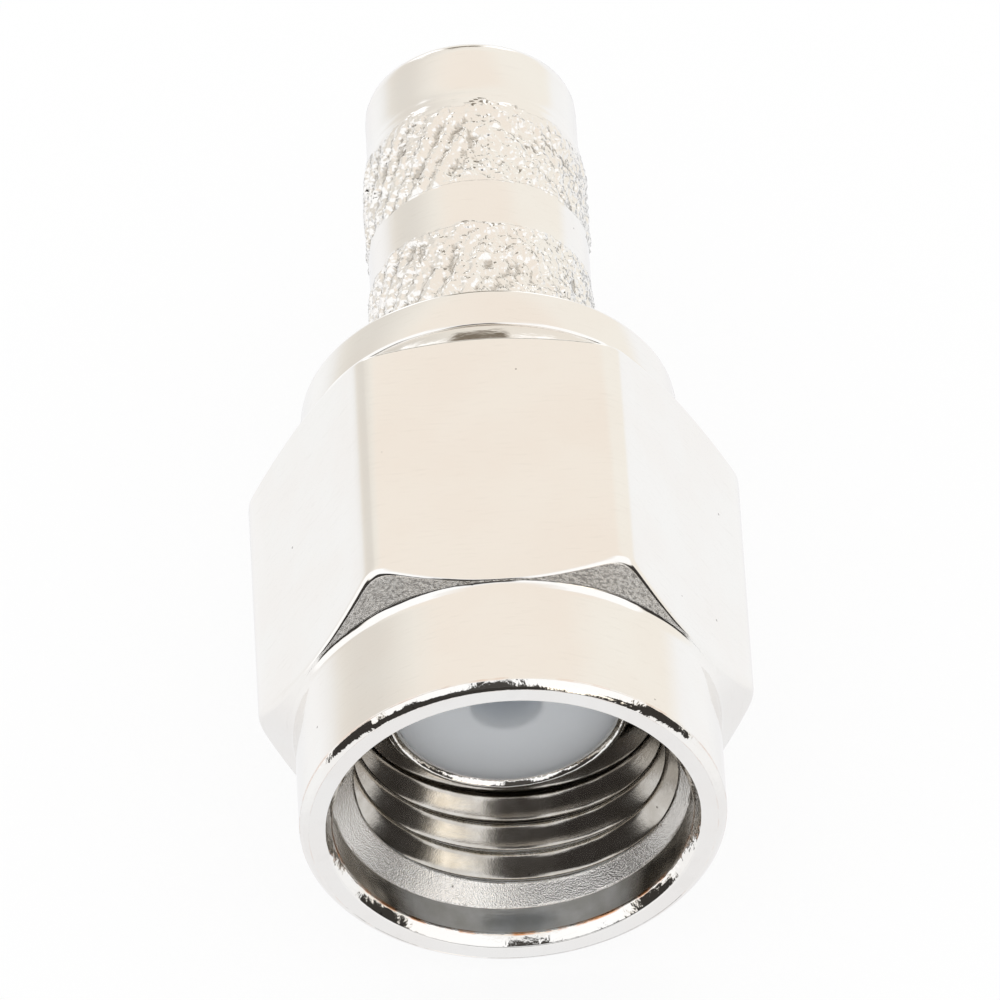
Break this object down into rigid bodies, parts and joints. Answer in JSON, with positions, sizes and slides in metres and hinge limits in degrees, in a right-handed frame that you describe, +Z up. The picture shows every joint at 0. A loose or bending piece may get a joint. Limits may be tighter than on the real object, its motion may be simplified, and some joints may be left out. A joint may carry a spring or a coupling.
{
  "type": "sma connector",
  "caption": "Straight coaxial crimp plug: a hex coupling nut with an inside thread turns on a body with a knurled crimp stem and a white insulator.",
  "frame": {"origin": "on the plug's axis, in the plane of the contact sleeve's front face, where the plug meets its socket", "axes": "the plug's axis is Y: the mouth of the nut faces -Y and the crimp stem points to +Y; +Z is up, square to the hex flat that the plug lies on"},
  "size_m": [0.009, 0.0177, 0.008],
  "materials": {
    "nut_plating": "nickel-plated, bright turned",
    "body_plating": "nickel-plated, bright turned, stem knurled",
    "ptfe": "satin, milky",
    "spring_bronze": "plain rolled"
  },
  "bodies": {
    "body": {"plug_body": "body_plating", "insulator": "ptfe"},
    "ring": {"retaining_ring": "spring_bronze"},
    "nut": {"coupling_nut": "nut_plating"}
  },
  "joints": [
    {"name": "nut_float", "type": "slide", "parent": "body", "child": "ring", "axis": [0, -1, 0], "range_m": [0, 0.0002]},
    {"name": "nut_spin", "type": "hinge", "parent": "ring", "child": "nut", "pos_m": [0, 0.00435, 0], "axis": [0, 1, 0], "continuous": true}
  ]
}
